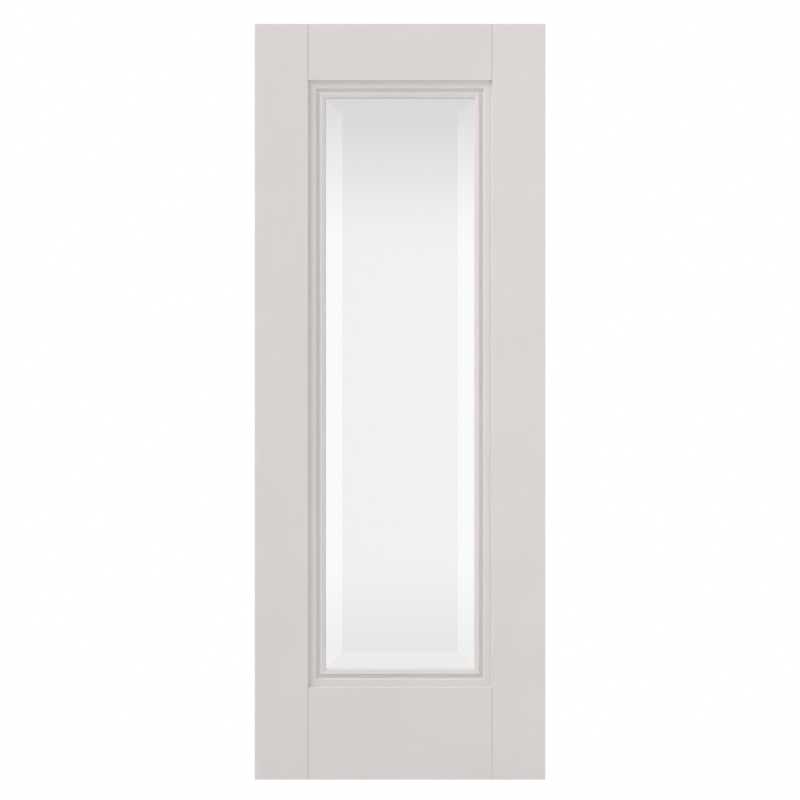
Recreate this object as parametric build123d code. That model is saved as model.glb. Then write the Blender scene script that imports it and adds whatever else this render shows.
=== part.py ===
from build123d import *
import os

# Glazed interior door leaf, in millimetres. X runs across the leaf from the hanging edge, Y goes
# from the front face to the back face through the middle of the leaf, and Z is up from the bottom.

# Leaf
LEAF_WIDTH = 762.0
LEAF_HEIGHT = 1981.0
LEAF_THICKNESS = 35.0

# Stiles and rails
STILE_WIDTH = 139.5
TOP_RAIL_HEIGHT = 147.5
BOTTOM_RAIL_HEIGHT = 241.5
FACING_THICKNESS = 4.0
LIPPING_WIDTH = 10.0
JOINT_GROOVE_WIDTH = 0.9
JOINT_GROOVE_DEPTH = 2.0
INNER_ARRIS = 0.4
ARRIS_RADIUS = 1.2

# Panel moulding, widths across the face and depths into it
COVE_WIDTH = 1.2
FLAT_WIDTH = 18.4
OVOLO_WIDTH = 3.8
OVOLO_DEPTH = 5.8
QUIRK_WIDTH = 8.0

# Glazing bead, heights above the face that it is bedded on
BEAD_WIDTH = 15.6
BEAD_SEAT_HEIGHT = 1.2
BEAD_HEEL_WIDTH = 3.4
BEAD_CREST_HEIGHT = 6.4
BEAD_CREST_RADIUS = 1.2
BEAD_NOSE_HEIGHT = 4.2
BEAD_NOSE_RADIUS = 4.5

# Pane and glazing tape
GLASS_THICKNESS = 6.0
GLASS_EDGE_THICKNESS = 3.0
BEVEL_WIDTH = 54.8
GLASS_CLEARANCE = 4.0
TAPE_THICKNESS = 1.2
TAPE_WIDTH = 9.0
TAPE_SETBACK = 1.5
TAPE_CORNER_GAP = 0.5

# The opening between the stiles and rails
LEFT = STILE_WIDTH
RIGHT = LEAF_WIDTH - STILE_WIDTH
BOTTOM = BOTTOM_RAIL_HEIGHT
TOP = LEAF_HEIGHT - TOP_RAIL_HEIGHT
OPENING_WIDTH = RIGHT - LEFT
OPENING_HEIGHT = TOP - BOTTOM

# Levels through the thickness
FRONT = -LEAF_THICKNESS / 2
BACK = LEAF_THICKNESS / 2
CORE_FRONT = FRONT + FACING_THICKNESS
CORE_BACK = BACK - FACING_THICKNESS

# The pane reaches under the beads, so it is thinner than its middle where the sight line crosses it
MOULDING_WIDTH = COVE_WIDTH + FLAT_WIDTH + OVOLO_WIDTH + QUIRK_WIDTH
SIGHT_LINE = MOULDING_WIDTH + BEAD_WIDTH
PANE_EDGE = MOULDING_WIDTH + GLASS_CLEARANCE
BEVEL_RISE = (GLASS_THICKNESS - GLASS_EDGE_THICKNESS) / BEVEL_WIDTH
SIGHT_LINE_GLASS = GLASS_EDGE_THICKNESS + BEVEL_RISE * (SIGHT_LINE - PANE_EDGE)

# Both beads stop at the same depth, which leaves the tape and the pane between them
BEAD_DEPTH = (LEAF_THICKNESS - 2 * TAPE_THICKNESS - SIGHT_LINE_GLASS) / 2
PANE_BACK = BACK - BEAD_DEPTH - TAPE_THICKNESS

# The quirk's floor stops short of that depth, so that the beads seat against the moulding's edge
QUIRK_DEPTH = BEAD_DEPTH - BEAD_SEAT_HEIGHT

# Each side of the opening is a frame: local X goes in from the edge of the opening, local Y goes
# through the leaf from front to back, and local Z runs along the side, clockwise from the front
SIDES = {
    "left": (Plane((LEFT, 0, BOTTOM), x_dir=(1, 0, 0), z_dir=(0, 0, 1)), OPENING_HEIGHT),
    "top": (Plane((LEFT, 0, TOP), x_dir=(0, 0, -1), z_dir=(1, 0, 0)), OPENING_WIDTH),
    "right": (Plane((RIGHT, 0, TOP), x_dir=(-1, 0, 0), z_dir=(0, 0, -1)), OPENING_HEIGHT),
    "bottom": (Plane((RIGHT, 0, BOTTOM), x_dir=(0, 0, 1), z_dir=(-1, 0, 0)), OPENING_WIDTH),
}


def board(low, high):
    """A squared board between two opposite corners."""
    size = [end - start for start, end in zip(low, high)]
    return Pos(*low) * Box(*size, align=(Align.MIN, Align.MIN, Align.MIN))


def face_edges(facing, outer_side):
    """The edges of a facing that lie on the leaf's front (outer_side 0) or back (-1) face."""
    return facing.edges().filter_by(Axis.Y, reverse=True).group_by(Axis.Y)[outer_side]


def stile_facing(x_from, x_to, y_from, y_to, outer_side, inner_edge):
    """A stile facing: a crisp arris along the inner edge and a rounder one along the outer."""
    facing = board((x_from, y_from, 0), (x_to, y_to, LEAF_HEIGHT))
    across = face_edges(facing, outer_side).filter_by(Axis.Z).sort_by(Axis.X)
    facing = chamfer(across[inner_edge], INNER_ARRIS)
    across = face_edges(facing, outer_side).filter_by(Axis.Z).sort_by(Axis.X)
    return fillet(across[-1 - inner_edge], ARRIS_RADIUS)


def rail_facing(z_from, z_to, y_from, y_to, outer_side, inner_edge):
    """A rail facing: a crisp arris along the opening and a fine groove at both ends."""
    facing = board((LEFT, y_from, z_from), (RIGHT, y_to, z_to))
    along = face_edges(facing, outer_side).filter_by(Axis.X).sort_by(Axis.Z)[inner_edge]
    facing = chamfer(along, INNER_ARRIS)
    y_groove = y_from if outer_side == 0 else y_to - JOINT_GROOVE_DEPTH
    for x_groove in (LEFT, RIGHT - JOINT_GROOVE_WIDTH):
        facing -= board(
            (x_groove, y_groove, z_from),
            (x_groove + JOINT_GROOVE_WIDTH, y_groove + JOINT_GROOVE_DEPTH, z_to),
        )
    return facing


def mitred(section, side, corner_gap=0.0):
    """Run a section along one side of the opening and mitre both ends."""
    place, length = SIDES[side]
    run = extrude(section, amount=length, dir=(0, 0, 1))
    run = split(run, Plane((0, 0, corner_gap), z_dir=(-1, 0, 1)))
    run = split(run, Plane((0, 0, length - corner_gap), z_dir=(-1, 0, -1)))
    return place * run


def moulding_section():
    """Cove, flat, ovolo and quirk on both faces of the piece that lines the opening."""
    quirk_level = FRONT + QUIRK_DEPTH
    flat_level = quirk_level - OVOLO_DEPTH
    outer = (0, FRONT + INNER_ARRIS)
    foot = (COVE_WIDTH, flat_level)
    shoulder = (COVE_WIDTH + FLAT_WIDTH, flat_level)
    nose = (COVE_WIDTH + FLAT_WIDTH + OVOLO_WIDTH, quirk_level)
    inner = (MOULDING_WIDTH, quirk_level)
    half = make_face(
        [
            Line((0, 0), outer),
            EllipticalCenterArc((foot[0], outer[1]), COVE_WIDTH, foot[1] - outer[1], 90, arc_size=90),
            Line(foot, shoulder),
            EllipticalCenterArc((shoulder[0], nose[1]), OVOLO_WIDTH, OVOLO_DEPTH, -90, arc_size=90),
            Line(nose, inner),
            Line(inner, (MOULDING_WIDTH, 0)),
            Line((MOULDING_WIDTH, 0), (0, 0)),
        ]
    )
    return half + mirror(half, about=Plane.XZ)


def bead_section():
    """A front glazing bead: a heel up out of the quirk, a crest, and a slope down to a round nose."""
    seat_level = FRONT + BEAD_DEPTH
    section = make_face(
        Polyline(
            (MOULDING_WIDTH, seat_level),
            (MOULDING_WIDTH, seat_level - BEAD_SEAT_HEIGHT),
            (MOULDING_WIDTH + BEAD_HEEL_WIDTH, seat_level - BEAD_CREST_HEIGHT),
            (SIGHT_LINE, seat_level - BEAD_NOSE_HEIGHT),
            (SIGHT_LINE, seat_level),
            close=True,
        )
    )
    crest, nose = section.vertices().sort_by(Axis.Y)[:2]
    section = fillet(crest, BEAD_CREST_RADIUS)
    nose = section.vertices().sort_by_distance(nose)[0]
    return fillet(nose, BEAD_NOSE_RADIUS)


def tape_section(bead_level, glass_levels):
    """Glazing tape between a bead and the pane, set back from the sight line."""
    inner = SIGHT_LINE - TAPE_SETBACK
    outer = inner - TAPE_WIDTH
    outer_level, inner_level = glass_levels(outer), glass_levels(inner)
    return make_face(
        Polyline(
            (outer, bead_level),
            (inner, bead_level),
            (inner, inner_level),
            (outer, outer_level),
            close=True,
        )
    )


def bevel_level(inset):
    """Where the bevelled front of the pane lies, at an inset from the edge of the opening."""
    return PANE_BACK - GLASS_EDGE_THICKNESS - BEVEL_RISE * (inset - PANE_EDGE)


def back_level(inset):
    """Where the flat back of the pane lies, at any inset."""
    return PANE_BACK


def glass_pane():
    """A flat pane with its front face ground down to a thin edge by a wide bevel."""
    pane = board(
        (LEFT + PANE_EDGE, PANE_BACK - GLASS_THICKNESS, BOTTOM + PANE_EDGE),
        (RIGHT - PANE_EDGE, PANE_BACK, TOP - PANE_EDGE),
    )
    front = pane.faces().sort_by(Axis.Y)[0]
    ground = GLASS_THICKNESS - GLASS_EDGE_THICKNESS
    return chamfer(front.edges(), length=BEVEL_WIDTH, length2=ground, reference=front)


pieces = {}

# Stiles
for name, outer_x, lipping_x, inner_x, inner_edge in (
    ("left_stile", 0, LIPPING_WIDTH, LEFT, -1),
    ("right_stile", LEAF_WIDTH, LEAF_WIDTH - LIPPING_WIDTH, RIGHT, 0),
):
    across = sorted((outer_x, inner_x))
    pieces[name + "_front_facing"] = stile_facing(*across, FRONT, CORE_FRONT, 0, inner_edge)
    pieces[name + "_back_facing"] = stile_facing(*across, CORE_BACK, BACK, -1, inner_edge)
    core = sorted((lipping_x, inner_x))
    pieces[name + "_core"] = board((core[0], CORE_FRONT, 0), (core[1], CORE_BACK, LEAF_HEIGHT))
    edge = sorted((outer_x, lipping_x))
    pieces[name + "_lipping"] = board((edge[0], CORE_FRONT, 0), (edge[1], CORE_BACK, LEAF_HEIGHT))

# Rails
for name, z_from, z_to, inner_edge in (
    ("top_rail", TOP, LEAF_HEIGHT, 0),
    ("bottom_rail", 0, BOTTOM, -1),
):
    pieces[name + "_front_facing"] = rail_facing(z_from, z_to, FRONT, CORE_FRONT, 0, inner_edge)
    pieces[name + "_back_facing"] = rail_facing(z_from, z_to, CORE_BACK, BACK, -1, inner_edge)
    pieces[name + "_core"] = board((LEFT, CORE_FRONT, z_from), (RIGHT, CORE_BACK, z_to))

# Mouldings and beads round the opening
moulding = moulding_section()
front_bead = bead_section()
back_bead = mirror(front_bead, about=Plane.XZ)
for side in SIDES:
    pieces[side + "_panel_moulding"] = mitred(moulding, side)
    pieces["front_" + side + "_bead"] = mitred(front_bead, side)
    pieces["back_" + side + "_bead"] = mitred(back_bead, side)

# Pane and tape
pieces["glass_pane"] = glass_pane()
front_tape = tape_section(FRONT + BEAD_DEPTH, bevel_level)
back_tape = tape_section(BACK - BEAD_DEPTH, back_level)
pieces["front_glazing_tape"] = Compound([mitred(front_tape, side, TAPE_CORNER_GAP) for side in SIDES])
pieces["back_glazing_tape"] = Compound([mitred(back_tape, side, TAPE_CORNER_GAP) for side in SIDES])

os.makedirs("parts", exist_ok=True)
for node, shape in pieces.items():
    export_step(shape, "parts/" + node + ".step")
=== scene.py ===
"""Looks of a glazed interior door leaf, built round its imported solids."""

import logging
import math
from dataclasses import dataclass
from enum import Enum

import bmesh
import bpy
from mathutils import Matrix, Vector


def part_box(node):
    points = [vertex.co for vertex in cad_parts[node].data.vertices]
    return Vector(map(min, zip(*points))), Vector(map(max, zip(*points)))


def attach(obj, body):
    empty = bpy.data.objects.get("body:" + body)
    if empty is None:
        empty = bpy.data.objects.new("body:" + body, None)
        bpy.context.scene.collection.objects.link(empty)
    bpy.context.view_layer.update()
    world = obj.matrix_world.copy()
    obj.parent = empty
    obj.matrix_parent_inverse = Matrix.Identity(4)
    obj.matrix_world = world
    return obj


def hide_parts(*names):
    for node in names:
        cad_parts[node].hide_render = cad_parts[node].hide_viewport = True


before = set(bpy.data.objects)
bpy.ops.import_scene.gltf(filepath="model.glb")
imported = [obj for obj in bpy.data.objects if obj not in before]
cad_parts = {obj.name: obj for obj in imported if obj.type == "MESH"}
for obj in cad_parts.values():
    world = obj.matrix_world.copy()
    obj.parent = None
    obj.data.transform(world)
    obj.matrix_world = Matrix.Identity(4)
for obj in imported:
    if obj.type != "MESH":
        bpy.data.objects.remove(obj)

Colour = tuple[float, float, float]
Point = tuple[float, float, float]
Spot = tuple[float, float]

LOG = logging.getLogger("door")
BODY = "root"

# Forms are drawn in millimetres, and turn into metres when they are finished
MM = 0.001
TOUCH = 0.001
HAIRLINE = 0.15
SHARP = math.radians(32.0)
QUARTER_TURN = math.pi / 2

# Screen colours and the noise that varies them
SCREEN_FULL = 255.0
SCREEN_OFFSET = 0.055
SCREEN_POWER = 2.4
WHITE = (1.0, 1.0, 1.0, 1.0)
NO_SHIFT = (0.0, 0.0, 0.0)
NOISE_MIDDLE = (0.3, 0.7)
SOFT_OCTAVES = 2.0
FINE_OCTAVES = 3.0


def linear(red: float, green: float, blue: float) -> Colour:
    """Turn a colour written in 0 to 255 screen values into the linear values that shaders use.

    Args:
        red: Screen red.
        green: Screen green.
        blue: Screen blue.

    Returns:
        The three linear values.
    """

    def one(value: float) -> float:
        """Turn one screen value into a linear one."""
        return ((value / SCREEN_FULL + SCREEN_OFFSET) / (1.0 + SCREEN_OFFSET)) ** SCREEN_POWER

    return one(red), one(green), one(blue)


class Run(Enum):
    """The way that a piece's length runs, as the letter of the axis along it."""

    UPRIGHT = "Z"
    LEVEL = "X"

    def stretch(self, share: float) -> Point:
        """Give the scale that draws a pattern out along the piece, to a share of its scale across."""
        return (share, 1.0, 1.0) if self is Run.LEVEL else (1.0, 1.0, share)


class Face(Enum):
    """The two faces of the leaf, as the sign of their way out along Y."""

    FRONT = -1.0
    BACK = 1.0

    @property
    def word(self) -> str:
        """Give the face's name."""
        return self.name.lower()


class Side(Enum):
    """The four sides of the opening, each with the way that its pieces run."""

    LEFT = ("left", Run.UPRIGHT)
    TOP = ("top", Run.LEVEL)
    RIGHT = ("right", Run.UPRIGHT)
    BOTTOM = ("bottom", Run.LEVEL)

    @property
    def word(self) -> str:
        """Give the side's name."""
        return self.value[0]

    @property
    def run(self) -> Run:
        """Give the way that pieces on this side run."""
        return self.value[1]


@dataclass(frozen=True)
class Leaf:
    """The leaf's sizes in millimetres, which all its pieces share."""

    width: float = 762.0
    height: float = 1981.0
    thickness: float = 35.0
    stile: float = 139.5
    top_rail: float = 147.5
    bottom_rail: float = 241.5
    facing: float = 4.0

    @property
    def right(self) -> float:
        """Give where the right stile begins."""
        return self.width - self.stile

    @property
    def top(self) -> float:
        """Give where the top rail begins."""
        return self.height - self.top_rail

    @property
    def bead_seat(self) -> float:
        """Give the depth of the bedded face of the beads, as the solids have it."""
        return self.thickness / 2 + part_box("front_left_bead")[1].y / MM

    def level(self, face: Face, depth: float) -> float:
        """Give the Y of a depth below a face."""
        return face.value * (self.thickness / 2 - depth)

    def length(self, side: Side) -> float:
        """Give the length of one side of the opening."""
        return self.top - self.bottom_rail if side.run is Run.UPRIGHT else self.right - self.stile

    def place(self, side: Side) -> Matrix:
        """Give the frame of one side: in from its edge, through the leaf, and along it.

        Args:
            side: The side of the opening.

        Returns:
            The matrix from that frame to the leaf's own.
        """
        corner, inward, along = {
            Side.LEFT: ((self.stile, 0.0, self.bottom_rail), (1, 0, 0), (0, 0, 1)),
            Side.TOP: ((self.stile, 0.0, self.top), (0, 0, -1), (1, 0, 0)),
            Side.RIGHT: ((self.right, 0.0, self.top), (-1, 0, 0), (0, 0, -1)),
            Side.BOTTOM: ((self.right, 0.0, self.bottom_rail), (0, 0, 1), (-1, 0, 0)),
        }[side]
        turned = Matrix((inward, (0, 1, 0), along)).transposed().to_4x4()
        return Matrix.Translation(corner) @ turned


@dataclass(frozen=True)
class Fade:
    """A soft change from one value to another, while something else goes from start to stop."""

    start: float
    stop: float
    low: float
    high: float


class Graph:
    """A node tree with short calls for adding and joining nodes."""

    def __init__(self, tree: bpy.types.NodeTree) -> None:
        """Start from an empty tree.

        Args:
            tree: The node tree to fill.
        """
        self.tree = tree
        self.tree.nodes.clear()

    def add(self, kind: str, **values: object) -> bpy.types.Node:
        """Add a node and set its own properties.

        Args:
            kind: The node's type name, after ShaderNode.
            values: Properties of the node, by name.

        Returns:
            The new node.
        """
        node = self.tree.nodes.new("ShaderNode" + kind)
        for name, value in values.items():
            setattr(node, name, value)
        return node

    def set(self, socket: bpy.types.NodeSocket, value: object) -> None:
        """Set an input from a plain value, or join it to another node's output.

        Args:
            socket: The input.
            value: The value or the output.
        """
        if isinstance(value, bpy.types.NodeSocket):
            self.tree.links.new(value, socket)
        else:
            socket.default_value = value

    def put(self, node: bpy.types.Node, **values: object) -> bpy.types.Node:
        """Set a node's inputs, by their names with _ for a space.

        Args:
            node: The node.
            values: Plain values, or outputs to join.

        Returns:
            The same node.
        """
        for name, value in values.items():
            self.set(node.inputs[name.replace("_", " ")], value)
        return node

    def node(self, kind: str, **values: object) -> bpy.types.Node:
        """Add a node and set its inputs."""
        return self.put(self.add(kind), **values)

    def place(self) -> bpy.types.NodeSocket:
        """Give the piece's own coordinates."""
        return self.add("TexCoord").outputs["Object"]

    def mapped(self, vector: bpy.types.NodeSocket, scale: Point, shift: Point) -> bpy.types.NodeSocket:
        """Give scaled and shifted coordinates."""
        return self.node("Mapping", Vector=vector, Scale=scale, Location=shift).outputs["Vector"]

    def drawn(self, vector: bpy.types.NodeSocket, run: Run, share: float) -> bpy.types.NodeSocket:
        """Give coordinates that draw a pattern out along a piece."""
        return self.mapped(vector, run.stretch(share), NO_SHIFT)

    def noise(self, vector: bpy.types.NodeSocket, scale: float, octaves: float) -> bpy.types.NodeSocket:
        """Give a noise near 0.5, with so many features per metre and so many octaves."""
        return self.node("TexNoise", Vector=vector, Scale=scale, Detail=octaves).outputs["Fac"]

    def ramp(self, value: bpy.types.NodeSocket, fade: Fade) -> bpy.types.NodeSocket:
        """Ease a value from one range into another.

        Args:
            value: The value.
            fade: Its range, and the results at the range's ends.

        Returns:
            The eased value.
        """
        node = self.add("MapRange", interpolation_type="SMOOTHSTEP")
        self.put(node, Value=value, From_Min=fade.start, From_Max=fade.stop)
        self.put(node, To_Min=fade.low, To_Max=fade.high)
        return node.outputs["Result"]

    def spread(self, value: bpy.types.NodeSocket, low: float, high: float) -> bpy.types.NodeSocket:
        """Stretch a noise's middle range to lie between two values."""
        return self.ramp(value, Fade(*NOISE_MIDDLE, low, high))

    def sum(self, kind: str, first: object, second: object) -> bpy.types.NodeSocket:
        """Join two values by arithmetic.

        Args:
            kind: The operation, such as ADD or MULTIPLY.
            first: The first value or output.
            second: The second value or output.

        Returns:
            The result.
        """
        node = self.add("Math", operation=kind)
        self.set(node.inputs[0], first)
        self.set(node.inputs[1], second)
        return node.outputs["Value"]

    def blend(self, share: object, first: object, second: object) -> bpy.types.NodeSocket:
        """Mix two colours.

        Args:
            share: How much of the second, from 0 to 1.
            first: A colour or an output.
            second: A colour or an output.

        Returns:
            The mixed colour.
        """
        node = self.add("MixRGB")
        for socket, value in zip(node.inputs, (share, first, second)):
            self.set(socket, (*value, 1.0) if isinstance(value, tuple) else value)
        return node.outputs["Color"]

    def bump(self, height: object, depth: float) -> bpy.types.NodeSocket:
        """Give the normal of a surface raised by a height near 0 to 1, which is so many metres deep."""
        return self.node("Bump", Height=height, Strength=1.0, Distance=depth).outputs["Normal"]

    def mixed(self, share: object, first: bpy.types.Node, second: bpy.types.Node) -> bpy.types.Node:
        """Mix two shaders.

        Args:
            share: How much of the second, from 0 to 1.
            first: A shader node.
            second: A shader node.

        Returns:
            The mixing node.
        """
        node = self.add("MixShader")
        for socket, value in zip(node.inputs, (share, first.outputs[0], second.outputs[0])):
            self.set(socket, value)
        return node

    def close(self, shader: bpy.types.Node, kind: str = "OutputMaterial") -> None:
        """Join the last shader to the tree's output."""
        self.node(kind, Surface=shader.outputs[0])


class Finish:
    """A finish, which makes its material once it is asked for."""

    name: str

    def material(self) -> bpy.types.Material:
        """Make the material.

        Returns:
            The material, with its nodes drawn by the finish.
        """
        made = bpy.data.materials.new(self.name)
        made.use_nodes = True
        self.draw(Graph(made.node_tree))
        return made

    def draw(self, graph: Graph) -> None:
        """Draw the finish's nodes."""
        raise NotImplementedError


@dataclass(frozen=True)
class Primer(Finish):
    """Smooth sprayed primer in a warm off-white, nearly matt."""

    name: str
    run: Run
    pale: Colour = linear(221.0, 216.0, 215.0)
    deep: Colour = linear(217.5, 212.5, 211.0)
    roughness: float = 0.74
    uneven: float = 0.04
    gloss: float = 0.35
    grain: float = 0.4
    cloud_scale: float = 4.0
    cloud_share: float = 0.6
    streak_scale: float = 160.0
    streak_draw: float = 0.03
    stipple_scale: float = 700.0
    stipple_depth: float = 0.00003

    def draw(self, graph: Graph) -> None:
        """Draw a fine stipple, faint streaks along the piece and slow clouds of tone.

        Args:
            graph: The material's nodes.
        """
        place = graph.place()
        cloud = graph.noise(place, self.cloud_scale, SOFT_OCTAVES)
        along = graph.drawn(place, self.run, self.streak_draw)
        streak = graph.noise(along, self.streak_scale, FINE_OCTAVES)
        stipple = graph.noise(place, self.stipple_scale, SOFT_OCTAVES)
        streak_share = graph.spread(streak, 0.0, 1.0 - self.cloud_share)
        share = graph.sum("ADD", graph.spread(cloud, 0.0, self.cloud_share), streak_share)
        height = graph.sum("ADD", graph.sum("MULTIPLY", streak, self.grain), stipple)
        roughness = graph.spread(cloud, self.roughness - self.uneven, self.roughness + self.uneven)
        shader = graph.node("BsdfPrincipled", Roughness=roughness, Specular_IOR_Level=self.gloss)
        graph.put(shader, Base_Color=graph.blend(share, self.deep, self.pale))
        graph.put(shader, Normal=graph.bump(height, self.stipple_depth))
        graph.close(shader)


@dataclass(frozen=True)
class SawnTimber(Finish):
    """Sawn softwood under a thin, patchy coat of primer."""

    name: str
    run: Run
    early: Colour = linear(222.0, 198.0, 163.0)
    late: Colour = linear(193.0, 156.0, 113.0)
    coat: Colour = linear(222.0, 215.0, 206.0)
    pith: Point = (0.02, 0.06, 0.03)
    ring_scale: float = 55.0
    ring_draw: float = 0.04
    ring_wander: float = 2.2
    ring_ripple: float = 0.6
    ring_relief: float = 0.4
    pore_scale: float = 900.0
    pore_draw: float = 0.02
    pore_share: float = 0.3
    patch_scale: float = 60.0
    thin_coat: float = 0.45
    full_coat: float = 0.8
    saw_scale: float = 420.0
    saw_draw: Point = (1.0, 0.1, 1.0)
    relief: float = 0.00012
    smooth: float = 0.78
    rough: float = 0.9

    def draw(self, graph: Graph) -> None:
        """Draw growth rings round the length of the piece, pores along it and the coat on top.

        Args:
            graph: The material's nodes.
        """
        place = graph.place()
        rings = graph.add("TexWave", wave_type="RINGS", rings_direction=self.run.value, wave_profile="SAW")
        round_pith = graph.mapped(place, self.run.stretch(self.ring_draw), self.pith)
        graph.put(rings, Vector=round_pith, Scale=self.ring_scale, Distortion=self.ring_wander)
        graph.put(rings, Detail=FINE_OCTAVES, Detail_Scale=self.ring_ripple)
        ring = rings.outputs["Fac"]
        pore = graph.noise(graph.drawn(place, self.run, self.pore_draw), self.pore_scale, SOFT_OCTAVES)
        wood = graph.blend(ring, self.early, self.late)
        wood = graph.blend(graph.spread(pore, 0.0, self.pore_share), wood, self.late)
        patch = graph.noise(place, self.patch_scale, FINE_OCTAVES)
        cover = graph.spread(patch, self.thin_coat, self.full_coat)
        saw = graph.noise(graph.mapped(place, self.saw_draw, NO_SHIFT), self.saw_scale, SOFT_OCTAVES)
        height = graph.sum("ADD", graph.sum("MULTIPLY", ring, self.ring_relief), saw)
        shader = graph.node("BsdfPrincipled", Base_Color=graph.blend(cover, wood, self.coat))
        graph.put(shader, Roughness=graph.spread(pore, self.smooth, self.rough))
        graph.put(shader, Normal=graph.bump(height, self.relief))
        graph.close(shader)


@dataclass(frozen=True)
class ClearGlass(Finish):
    """Clear polished float glass."""

    name: str = "clear_glass"
    tint: Colour = (0.988, 0.989, 0.984)
    bend: float = 1.5
    smear_scale: float = 9.0
    haze: float = 0.012

    def draw(self, graph: Graph) -> None:
        """Draw a clear shader with a faint trace of polish marks.

        Args:
            graph: The material's nodes.
        """
        smear = graph.noise(graph.place(), self.smear_scale, FINE_OCTAVES)
        shader = graph.node("BsdfPrincipled", Base_Color=(*self.tint, 1.0), IOR=self.bend)
        graph.put(shader, Transmission_Weight=1.0, Roughness=graph.spread(smear, 0.0, self.haze))
        graph.close(shader)


@dataclass(frozen=True)
class FoamTape(Finish):
    """Closed-cell glazing tape in a pale grey."""

    name: str = "glazing_tape"
    skin: Colour = linear(205.0, 202.0, 196.0)
    cell: Colour = linear(186.0, 183.0, 177.0)
    cell_scale: float = 1800.0
    relief: float = 0.0001
    smooth: float = 0.8
    rough: float = 0.95

    def draw(self, graph: Graph) -> None:
        """Draw fine cells over the skin.

        Args:
            graph: The material's nodes.
        """
        size = graph.node("TexVoronoi", Vector=graph.place(), Scale=self.cell_scale).outputs["Distance"]
        shader = graph.node("BsdfPrincipled", Base_Color=graph.blend(size, self.cell, self.skin))
        graph.put(shader, Roughness=graph.spread(size, self.smooth, self.rough))
        graph.put(shader, Normal=graph.bump(size, self.relief))
        graph.close(shader)


@dataclass(frozen=True)
class PaleFloor(Finish):
    """A floor that shows white with the object's shadow, and is open from below and through glass."""

    centre: float
    name: str = "pale_floor"
    paint: float = 0.72
    whitening: Fade = Fade(0.5, 1.6, 0.985, 1.0)

    def draw(self, graph: Graph) -> None:
        """Draw paint that goes over into plain white away from the object.

        Args:
            graph: The material's nodes.
        """
        rays = graph.add("LightPath").outputs
        seen = graph.sum("MAXIMUM", rays["Is Camera Ray"], rays["Is Glossy Ray"])
        away = graph.mapped(graph.place(), (1.0, 1.0, 1.0), (-self.centre, 0.0, 0.0))
        reach = graph.add("VectorMath", operation="LENGTH")
        graph.set(reach.inputs[0], away)
        white = graph.sum("MULTIPLY", seen, graph.ramp(reach.outputs["Value"], self.whitening))
        paint = graph.node("BsdfDiffuse", Color=(*[self.paint] * 3, 1.0))
        top = graph.mixed(white, paint, graph.node("Emission", Color=WHITE, Strength=1.0))
        below = graph.add("NewGeometry").outputs["Backfacing"]
        passing = graph.sum("MAXIMUM", below, rays["Is Transmission Ray"])
        graph.close(graph.mixed(passing, top, graph.add("BsdfTransparent")))


@dataclass(frozen=True)
class ShadedCard(Finish):
    """A card that shows through glass alone, shaded by height."""

    name: str = "shaded_card"
    head: Fade = Fade(1.414, 1.931, 0.93, 0.71)
    foot: Fade = Fade(0.194, 0.545, 0.895, 1.0)
    skirt: Fade = Fade(0.0, 0.16, 1.07, 1.0)

    def draw(self, graph: Graph) -> None:
        """Draw a glow that is weaker at head and foot.

        Args:
            graph: The material's nodes.
        """
        height = graph.node("SeparateXYZ", Vector=graph.place()).outputs["Z"]
        strength = graph.ramp(height, self.head)
        for fade in (self.foot, self.skirt):
            strength = graph.sum("MULTIPLY", strength, graph.ramp(height, fade))
        glow = graph.node("Emission", Color=WHITE, Strength=strength)
        through = graph.add("LightPath").outputs["Is Transmission Ray"]
        graph.close(graph.mixed(through, graph.add("BsdfTransparent"), glow))


class Paintbox:
    """The finishes that the leaf's pieces share, each made once."""

    def __init__(self) -> None:
        """Mix every finish."""
        self.facing = {run: Primer("primed_facing_" + run.name.lower(), run).material() for run in Run}
        self.trim = {
            run: Primer("primed_trim_" + run.name.lower(), run, roughness=0.78, grain=0.25).material()
            for run in Run
        }
        self.lipping = Primer("primed_lipping", Run.UPRIGHT, roughness=0.7, grain=1.6).material()
        self.timber = {run: SawnTimber("core_timber_" + run.name.lower(), run).material() for run in Run}
        self.glass = ClearGlass().material()
        self.tape = FoamTape().material()


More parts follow.
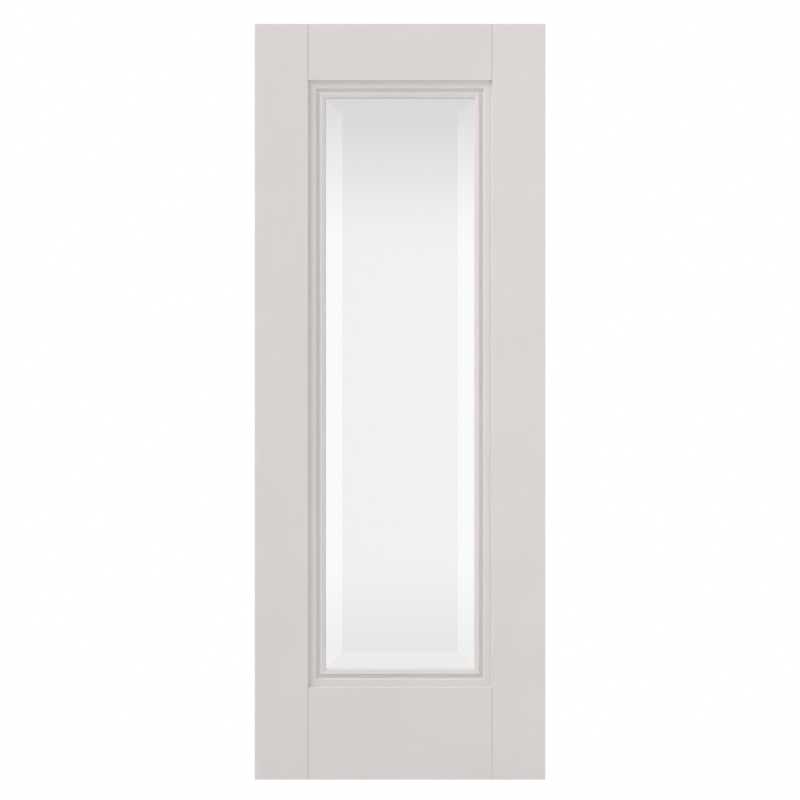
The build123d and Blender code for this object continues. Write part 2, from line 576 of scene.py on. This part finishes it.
class Form:
    """A mesh being shaped in millimetres, which becomes a piece of the leaf."""

    def __init__(self) -> None:
        """Start with an empty mesh."""
        self.mesh = bmesh.new()
        self.tip: bmesh.types.BMVert | None = None

    def box(self, low: Point, high: Point) -> None:
        """Add a box between two opposite corners.

        Args:
            low: One corner.
            high: The other corner.
        """
        start, stop = Vector(low), Vector(high)
        size = Vector(tuple(map(abs, stop - start)))
        made = bmesh.ops.create_cube(self.mesh, size=1.0)
        bmesh.ops.scale(self.mesh, vec=size, verts=made["verts"])
        bmesh.ops.translate(self.mesh, vec=(start + stop) / 2, verts=made["verts"])

    def eased_box(self, low: Point, high: Point, ease: float) -> None:
        """Add a box whose edges are all eased."""
        self.box(low, high)
        self.soften(list(self.mesh.edges), ease)

    def start(self, spot: Spot) -> None:
        """Put the pen down for a section."""
        self.tip = self.mesh.verts.new((*spot, 0.0))

    def line(self, *spots: Spot) -> None:
        """Draw straight legs of a section.

        Args:
            spots: Where each leg ends.
        """
        for spot in spots:
            self.tip = bmesh.ops.extrude_vert_indiv(self.mesh, verts=[self.tip])["verts"][0]
            self.tip.co = (*spot, 0.0)

    def quarter(self, hub: Spot, spot: Spot, steps: int = 10) -> None:
        """Draw a quarter of an ellipse, by a quarter turn that is then stretched to its end.

        Args:
            hub: The ellipse's centre, level with one end and in line with the other.
            spot: Where the arc ends.
            steps: Its number of straight steps.
        """
        centre = Vector((*hub, 0.0))
        arm = self.tip.co - centre
        reach = Vector((*spot, 0.0)) - centre
        turn = math.copysign(QUARTER_TURN, arm.cross(reach).z)
        kept = set(self.mesh.verts)
        spun = bmesh.ops.spin(
            self.mesh, geom=[self.tip], cent=centre, axis=(0, 0, 1), dvec=(0, 0, 0), angle=turn, steps=steps
        )
        fresh = [vert for vert in self.mesh.verts if vert not in kept]
        share = reach.length / arm.length
        stretch = (share, 1.0, 1.0) if abs(reach.x) > abs(reach.y) else (1.0, share, 1.0)
        bmesh.ops.scale(self.mesh, vec=stretch, space=Matrix.Translation(-centre), verts=fresh)
        self.tip = next(item for item in spun["geom_last"] if isinstance(item, bmesh.types.BMVert))

    def raise_section(self, length: float) -> None:
        """Close the drawn section and extrude it.

        Args:
            length: How far, along local Z.
        """
        bmesh.ops.remove_doubles(self.mesh, verts=self.mesh.verts, dist=TOUCH)
        filled = bmesh.ops.edgeloop_fill(self.mesh, edges=self.mesh.edges)
        grown = bmesh.ops.extrude_face_region(self.mesh, geom=filled["faces"])
        moved = [item for item in grown["geom"] if isinstance(item, bmesh.types.BMVert)]
        bmesh.ops.translate(self.mesh, vec=(0.0, 0.0, length), verts=moved)

    def mitre(self, corner: Point, outward: Point) -> None:
        """Cut an end off square to a direction, close it and ease its rim to a hairline.

        Args:
            corner: A point on the cut.
            outward: The way towards what is cut off.
        """
        everything = [*self.mesh.verts, *self.mesh.edges, *self.mesh.faces]
        bmesh.ops.bisect_plane(
            self.mesh, geom=everything, dist=TOUCH, plane_co=corner, plane_no=outward, clear_outer=True
        )
        rim = [edge for edge in self.mesh.edges if edge.is_boundary]
        bmesh.ops.edgeloop_fill(self.mesh, edges=rim)
        self.soften(rim, HAIRLINE)

    def edges_at(self, **levels: float) -> list[bmesh.types.BMEdge]:
        """Find the edges that lie at given levels.

        Args:
            levels: Any of x, y and z, each with its level.

        Returns:
            The edges.
        """

        def lies(spot: Vector) -> bool:
            """Tell whether a point is at every level."""
            return all(abs(getattr(spot, axis) - level) < TOUCH for axis, level in levels.items())

        return [edge for edge in self.mesh.edges if all(lies(vert.co) for vert in edge.verts)]

    def soften(self, edges: list[bmesh.types.BMEdge], width: float, steps: int = 1) -> None:
        """Bevel edges.

        Args:
            edges: The edges.
            width: How wide, on each face.
            steps: Facets across the bevel.
        """
        bmesh.ops.bevel(
            self.mesh, geom=edges, offset=width, segments=steps, profile=0.5, affect="EDGES", material=-1
        )

    def finish(self, name: str, slot: str, coat: bpy.types.Material, place: Matrix | None = None) -> None:
        """Make the piece with its faces outwards, and let it stand for the node of the same name.

        Args:
            name: The node's name.
            slot: The record's material slot; not used.
            coat: The piece's material.
            place: The frame that the form was drawn in, or None for the leaf's own.
        """
        at = Matrix.Scale(MM, 4) @ (place or Matrix.Identity(4))
        bmesh.ops.transform(self.mesh, matrix=at, verts=self.mesh.verts)
        bmesh.ops.recalc_face_normals(self.mesh, faces=self.mesh.faces)
        if self.mesh.calc_volume(signed=True) < 0.0:
            bmesh.ops.reverse_faces(self.mesh, faces=self.mesh.faces)
        for face in self.mesh.faces:
            face.smooth = True
        data = bpy.data.meshes.new(name)
        self.mesh.to_mesh(data)
        self.mesh.free()
        data.set_sharp_from_angle(angle=SHARP)
        data.materials.append(coat)
        made = bpy.data.objects.new("looks_" + name, data)
        bpy.context.scene.collection.objects.link(made)
        evened = made.modifiers.new("even_normals", "WEIGHTED_NORMAL")
        evened.keep_sharp = True
        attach(made, BODY)
        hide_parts(name)
        LOG.info("%s: %d faces", name, len(data.polygons))


@dataclass
class Stile:
    """One upright of the leaf: two facings, a core and the lipping on its outer edge."""

    leaf: Leaf
    name: str
    outer: float
    inner: float
    lipping: float = 10.0
    inner_arris: float = 0.4
    outer_arris: float = 1.2
    arris_steps: int = 5
    end_ease: float = 0.3
    core_ease: float = 0.15

    def build(self, paint: Paintbox) -> None:
        """Build and dress the four pieces.

        Args:
            paint: The finishes.
        """
        for face in Face:
            self.facing(face, paint)
        edge = self.outer + math.copysign(self.lipping, self.inner - self.outer)
        self.inside("core", edge, self.inner, "core_timber", paint.timber[Run.UPRIGHT])
        self.inside("lipping", self.outer, edge, "edge_lipping", paint.lipping)

    def facing(self, face: Face, paint: Paintbox) -> None:
        """Build one facing, with a crisp inner arris and a rounder outer one.

        Args:
            face: The face of the leaf.
            paint: The finishes.
        """
        outside = self.leaf.level(face, 0.0)
        inside = self.leaf.level(face, self.leaf.facing)
        form = Form()
        form.box((self.outer, outside, 0.0), (self.inner, inside, self.leaf.height))
        form.soften(form.edges_at(x=self.outer, y=outside), self.outer_arris, self.arris_steps)
        form.soften(form.edges_at(x=self.inner, y=outside), self.inner_arris)
        form.soften(form.edges_at(z=0.0) + form.edges_at(z=self.leaf.height), self.end_ease)
        form.finish(f"{self.name}_{face.word}_facing", "primed_facing", paint.facing[Run.UPRIGHT])

    def inside(self, part: str, start: float, stop: float, slot: str, coat: bpy.types.Material) -> None:
        """Build a piece between the facings.

        Args:
            part: The end of its name.
            start: Where it starts across the leaf.
            stop: Where it stops.
            slot: The record's material slot.
            coat: Its material.
        """
        front = self.leaf.level(Face.FRONT, self.leaf.facing)
        form = Form()
        form.eased_box((start, front, 0.0), (stop, -front, self.leaf.height), self.core_ease)
        form.finish(f"{self.name}_{part}", slot, coat)


@dataclass
class Rail:
    """One cross piece between the stiles: two facings and a core."""

    leaf: Leaf
    name: str
    opening: float
    end: float
    groove_width: float = 0.9
    groove_depth: float = 2.0
    inner_arris: float = 0.4
    end_ease: float = 0.3
    core_ease: float = 0.15

    def build(self, paint: Paintbox) -> None:
        """Build and dress the three pieces.

        Args:
            paint: The finishes.
        """
        for face in Face:
            self.facing(face, paint)
        front = self.leaf.level(Face.FRONT, self.leaf.facing)
        low = (self.leaf.stile, front, self.opening)
        high = (self.leaf.right, -front, self.end)
        form = Form()
        form.eased_box(low, high, self.core_ease)
        form.finish(self.name + "_core", "core_timber", paint.timber[Run.LEVEL])

    def facing(self, face: Face, paint: Paintbox) -> None:
        """Build one facing, with a fine groove against each stile.

        Args:
            face: The face of the leaf.
            paint: The finishes.
        """
        left, right = self.leaf.stile, self.leaf.right
        left_lip, right_lip = left + self.groove_width, right - self.groove_width
        outside = self.leaf.level(face, 0.0)
        sunk = self.leaf.level(face, self.groove_depth)
        inside = self.leaf.level(face, self.leaf.facing)
        form = Form()
        form.start((left, inside))
        form.line((left, sunk), (left_lip, sunk), (left_lip, outside))
        form.line((right_lip, outside), (right_lip, sunk), (right, sunk), (right, inside), (left, inside))
        form.raise_section(self.end - self.opening)
        bmesh.ops.translate(form.mesh, vec=(0.0, 0.0, self.opening), verts=form.mesh.verts)
        form.soften(form.edges_at(y=outside, z=self.opening), self.inner_arris)
        form.soften(form.edges_at(z=self.end), self.end_ease)
        form.finish(f"{self.name}_{face.word}_facing", "primed_facing", paint.facing[Run.LEVEL])


class Lining:
    """Mitred lengths of one section on the four sides of the opening."""

    leaf: Leaf
    slot: str

    def build(self, paint: Paintbox) -> None:
        """Build and dress the four lengths.

        Args:
            paint: The finishes.
        """
        for side in Side:
            form = Form()
            length = self.leaf.length(side)
            self.shape(form, length)
            form.mitre((0.0, 0.0, 0.0), (1.0, 0.0, -1.0))
            form.mitre((0.0, 0.0, length), (1.0, 0.0, 1.0))
            form.finish(self.node(side), self.slot, paint.trim[side.run], self.leaf.place(side))

    def node(self, side: Side) -> str:
        """Give the name of the length on one side."""
        raise NotImplementedError

    def shape(self, form: Form, length: float) -> None:
        """Draw the section and extrude it along a side."""
        raise NotImplementedError


@dataclass
class PanelMoulding(Lining):
    """The moulding that lines the opening, alike on both faces."""

    leaf: Leaf
    slot: str = "primed_moulding"
    arris: float = 0.4
    cove: float = 1.2
    flat: float = 18.4
    ovolo: float = 3.8
    ovolo_depth: float = 5.8
    quirk: float = 8.0
    bead_edge: float = 1.2

    @property
    def width(self) -> float:
        """Give the moulding's whole width."""
        return self.cove + self.flat + self.ovolo + self.quirk

    def node(self, side: Side) -> str:
        """Give the name of the length on one side."""
        return side.word + "_panel_moulding"

    def shape(self, form: Form, length: float) -> None:
        """Draw cove, flat, ovolo and quirk, and the same back again on the other face, and extrude them.

        Args:
            form: The form to draw in.
            length: The length of the side.
        """
        shoulder = self.cove + self.flat
        nose = shoulder + self.ovolo
        quirk_depth = self.leaf.bead_seat - self.bead_edge
        rim = self.leaf.level(Face.BACK, self.arris)
        flat = self.leaf.level(Face.BACK, quirk_depth - self.ovolo_depth)
        low = self.leaf.level(Face.BACK, quirk_depth)
        form.start((0.0, -rim))
        form.quarter((self.cove, -rim), (self.cove, -flat))
        form.line((shoulder, -flat))
        form.quarter((shoulder, -low), (nose, -low))
        form.line((self.width, -low), (self.width, low), (nose, low))
        form.quarter((shoulder, low), (shoulder, flat))
        form.line((self.cove, flat))
        form.quarter((self.cove, rim), (0.0, rim))
        form.line((0.0, -rim))
        form.raise_section(length)


@dataclass
class GlazingBead(Lining):
    """The beads on one face, which hold the pane in its lining."""

    leaf: Leaf
    face: Face
    outer: float
    slot: str = "primed_bead"
    width: float = 15.6
    edge: float = 1.2
    heel: float = 3.4
    crest: float = 6.4
    crest_radius: float = 1.2
    crest_steps: int = 5
    nose: float = 4.2
    nose_radius: float = 4.5
    nose_steps: int = 9

    def node(self, side: Side) -> str:
        """Give the name of the length on one side."""
        return f"{self.face.word}_{side.word}_bead"

    def spot(self, across: float, height: float) -> Spot:
        """Give a point of the section, from its distance in and its height over the seat."""
        return self.outer + across, self.leaf.level(self.face, self.leaf.bead_seat - height)

    def shape(self, form: Form, length: float) -> None:
        """Draw the section, extrude it, and round its crest and nose.

        Args:
            form: The form to draw in.
            length: The length of the side.
        """
        foot = self.spot(0.0, 0.0)
        heel = self.spot(0.0, self.edge)
        crest = self.spot(self.heel, self.crest)
        nose = self.spot(self.width, self.nose)
        toe = self.spot(self.width, 0.0)
        form.start(foot)
        form.line(heel, crest, nose, toe, foot)
        form.raise_section(length)
        for before, corner, after, radius, steps in (
            (heel, crest, nose, self.crest_radius, self.crest_steps),
            (crest, nose, toe, self.nose_radius, self.nose_steps),
        ):
            turn = (Vector(corner) - Vector(before)).angle(Vector(after) - Vector(corner))
            edges = form.edges_at(x=corner[0], y=corner[1])
            form.soften(edges, radius * math.tan(turn / 2), steps)


@dataclass
class Pane:
    """The bevelled pane and its tapes, whose solids already have their true shape."""

    name: str = "glass_pane"
    tapes: tuple[str, ...] = ("front_glazing_tape", "back_glazing_tape")

    def dress(self, paint: Paintbox) -> None:
        """Give the solids their finishes.

        Args:
            paint: The finishes.
        """
        self.coat(self.name, paint.glass)
        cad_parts[self.name].visible_shadow = False
        for tape in self.tapes:
            self.coat(tape, paint.tape)

    def coat(self, name: str, coat: bpy.types.Material) -> None:
        """Put a material on a solid's slot.

        Args:
            name: The solid's name.
            coat: The material.
        """
        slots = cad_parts[name].data.materials
        slots.clear()
        slots.append(coat)
        LOG.info("%s: dressed", name)


@dataclass(frozen=True)
class Lamp:
    """One soft square lamp, placed in metres."""

    name: str
    place: Point
    size: float
    power: float

    def hang(self, aim: Point) -> None:
        """Make the lamp, which lights the object but shows in no glass, and point it.

        Args:
            aim: What it points at.
        """
        data = bpy.data.lights.new(self.name, "AREA")
        data.size = self.size
        data.energy = self.power
        lamp = bpy.data.objects.new(self.name, data)
        lamp.location = self.place
        lamp.visible_transmission = False
        lamp.visible_glossy = False
        lamp.rotation_mode = "QUATERNION"
        lamp.rotation_quaternion = (Vector(aim) - Vector(self.place)).to_track_quat("-Z", "Y")
        bpy.context.scene.collection.objects.link(lamp)


@dataclass(frozen=True)
class Surroundings:
    """The world round the object, by the direction that a ray takes."""

    # The light on the object, weaker overhead
    soft_light: Fade = Fade(0.2, 0.9, 0.705, 0.42)
    # The upright screens and the ground that the glass mirrors
    screen_pitch: float = 0.16
    screen_edge: Fade = Fade(0.06, 0.09, 0.0, 1.9)
    screen_top: Fade = Fade(0.079, 0.107, 1.0, 0.2)
    ground_edge: Fade = Fade(-0.168, -0.124, 1.0, 0.0)
    # What shows through the glass: plain towards the back, shaded panels towards the front
    through_glass: float = 0.89
    room_turn: Fade = Fade(-0.2, 0.0, 0.0, 1.0)
    panel_shift: float = 0.035
    panel_pitch: float = 0.07
    panel_edge: Fade = Fade(0.0, 0.07, 0.83, 0.95)
    shade_pitch: float = 0.12
    shade_edge: Fade = Fade(0.0, 0.12, 1.0, 0.88)

    def draw(self, graph: Graph) -> None:
        """Draw white for the camera, and what lights the object and shows in its glass.

        Args:
            graph: The world's nodes.
        """
        rays = graph.add("LightPath").outputs
        direction = graph.add("TexCoord").outputs["Generated"]
        way = graph.node("SeparateXYZ", Vector=direction).outputs
        soft = graph.node("Background", Color=WHITE, Strength=graph.ramp(way["Z"], self.soft_light))
        white = graph.node("Background", Color=WHITE, Strength=1.0)
        mirror = graph.node("Background", Color=WHITE, Strength=self.mirrored(graph, way))
        plain = graph.node("Background", Color=WHITE, Strength=self.through_glass)
        room = graph.node("Background", Color=WHITE, Strength=self.room(graph, way))
        clear = graph.mixed(graph.ramp(way["Y"], self.room_turn), room, plain)
        inner = graph.mixed(rays["Is Glossy Ray"], soft, mirror)
        inner = graph.mixed(rays["Is Transmission Ray"], inner, clear)
        graph.close(graph.mixed(rays["Is Camera Ray"], inner, white), "OutputWorld")

    def mirrored(self, graph: Graph, way: bpy.types.NodeOutputs) -> bpy.types.NodeSocket:
        """Draw the screens and the ground that the glass mirrors.

        Args:
            graph: The world's nodes.
            way: The three parts of the direction.

        Returns:
            Their strength.
        """
        screens = graph.ramp(graph.sum("PINGPONG", way["X"], self.screen_pitch), self.screen_edge)
        screens = graph.sum("MULTIPLY", screens, graph.ramp(way["Z"], self.screen_top))
        return graph.sum("MAXIMUM", screens, graph.ramp(way["Z"], self.ground_edge))

    def room(self, graph: Graph, way: bpy.types.NodeOutputs) -> bpy.types.NodeSocket:
        """Draw the shaded panels that make the bevel show from behind.

        Args:
            graph: The world's nodes.
            way: The three parts of the direction.

        Returns:
            Their strength.
        """
        panels = graph.sum("PINGPONG", graph.sum("ADD", way["X"], self.panel_shift), self.panel_pitch)
        shades = graph.ramp(graph.sum("PINGPONG", way["Z"], self.shade_pitch), self.shade_edge)
        return graph.sum("MULTIPLY", graph.ramp(panels, self.panel_edge), shades)


@dataclass
class Studio:
    """The floor, the card behind the leaf, the surroundings, the lamps and the camera, in metres."""

    leaf: Leaf
    lens: float = 140.0
    sensor: float = 36.0
    frame_width: float = 2.0972
    eye_height: float = 0.9950
    floor_radius: float = 1.7
    floor_sides: int = 96
    card_distance: float = 1.0
    card_reach: float = 5.0
    card_height: float = 2.6
    lamps: tuple[Lamp, ...] = (
        Lamp("key", (-6.0, -2.9, 7.85), 4.6, 705.0),
        Lamp("fill", (2.2, -1.4, 1.3), 1.0, 9.0),
        Lamp("back", (5.0, 8.0, 3.4), 4.0, 280.0),
    )

    @property
    def middle(self) -> Point:
        """Give the middle of the leaf."""
        return self.leaf.width / 2 * MM, 0.0, self.leaf.height / 2 * MM

    def build(self) -> None:
        """Make everything round the object."""
        self.floor()
        self.backdrop()
        self.surround()
        for lamp in self.lamps:
            lamp.hang(self.middle)
        self.camera()
        bpy.context.scene.view_settings.view_transform = "Standard"

    def stand(self, name: str, shape: bmesh.types.BMesh, finish: Finish) -> None:
        """Make a shape a piece of the stage.

        Args:
            name: The piece's name.
            shape: Its shape, which is used up.
            finish: Its finish.
        """
        mesh = bpy.data.meshes.new(name)
        shape.to_mesh(mesh)
        shape.free()
        mesh.materials.append(finish.material())
        piece = bpy.data.objects.new(name, mesh)
        bpy.context.scene.collection.objects.link(piece)

    def floor(self) -> None:
        """Lay a round floor under the leaf."""
        shape = bmesh.new()
        bmesh.ops.create_circle(shape, cap_ends=True, segments=self.floor_sides, radius=self.floor_radius)
        bmesh.ops.translate(shape, verts=shape.verts, vec=(self.middle[0], 0.0, 0.0))
        self.stand("floor", shape, PaleFloor(self.middle[0]))

    def backdrop(self) -> None:
        """Hang a wide card behind the leaf."""
        shape = bmesh.new()
        bmesh.ops.create_grid(shape, x_segments=1, y_segments=1, size=1.0)
        bmesh.ops.scale(shape, verts=shape.verts, vec=(self.card_reach, self.card_height / 2, 1.0))
        bmesh.ops.rotate(shape, verts=shape.verts, matrix=Matrix.Rotation(QUARTER_TURN, 3, "X"))
        at = (self.middle[0], self.card_distance, self.card_height / 2)
        bmesh.ops.translate(shape, verts=shape.verts, vec=at)
        self.stand("backdrop", shape, ShadedCard())

    def surround(self) -> None:
        """Make the world."""
        world = bpy.data.worlds.new("studio")
        world.use_nodes = True
        Surroundings().draw(Graph(world.node_tree))
        bpy.context.scene.world = world

    def camera(self) -> None:
        """Make the camera, square on to the front face."""
        data = bpy.data.cameras.new("camera")
        data.lens = self.lens
        data.sensor_width = self.sensor
        front_face = self.leaf.level(Face.FRONT, 0.0) * MM
        away = self.frame_width * self.lens / self.sensor
        camera = bpy.data.objects.new("camera", data)
        camera.location = (self.middle[0], front_face - away, self.eye_height)
        camera.rotation_euler = (QUARTER_TURN, 0.0, 0.0)
        bpy.context.scene.collection.objects.link(camera)
        bpy.context.scene.camera = camera


def main() -> None:
    """Build the leaf's pieces, dress them and set the studio round them."""
    logging.basicConfig(level=logging.INFO, format="%(name)s: %(message)s")
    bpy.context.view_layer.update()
    leaf = Leaf()
    paint = Paintbox()
    Stile(leaf, "left_stile", 0.0, leaf.stile).build(paint)
    Stile(leaf, "right_stile", leaf.width, leaf.right).build(paint)
    Rail(leaf, "top_rail", leaf.top, leaf.height).build(paint)
    Rail(leaf, "bottom_rail", leaf.bottom_rail, 0.0).build(paint)
    moulding = PanelMoulding(leaf)
    moulding.build(paint)
    for face in Face:
        GlazingBead(leaf, face, moulding.width).build(paint)
    Pane().dress(paint)
    Studio(leaf).build()


if __name__ == "__main__":
    main()
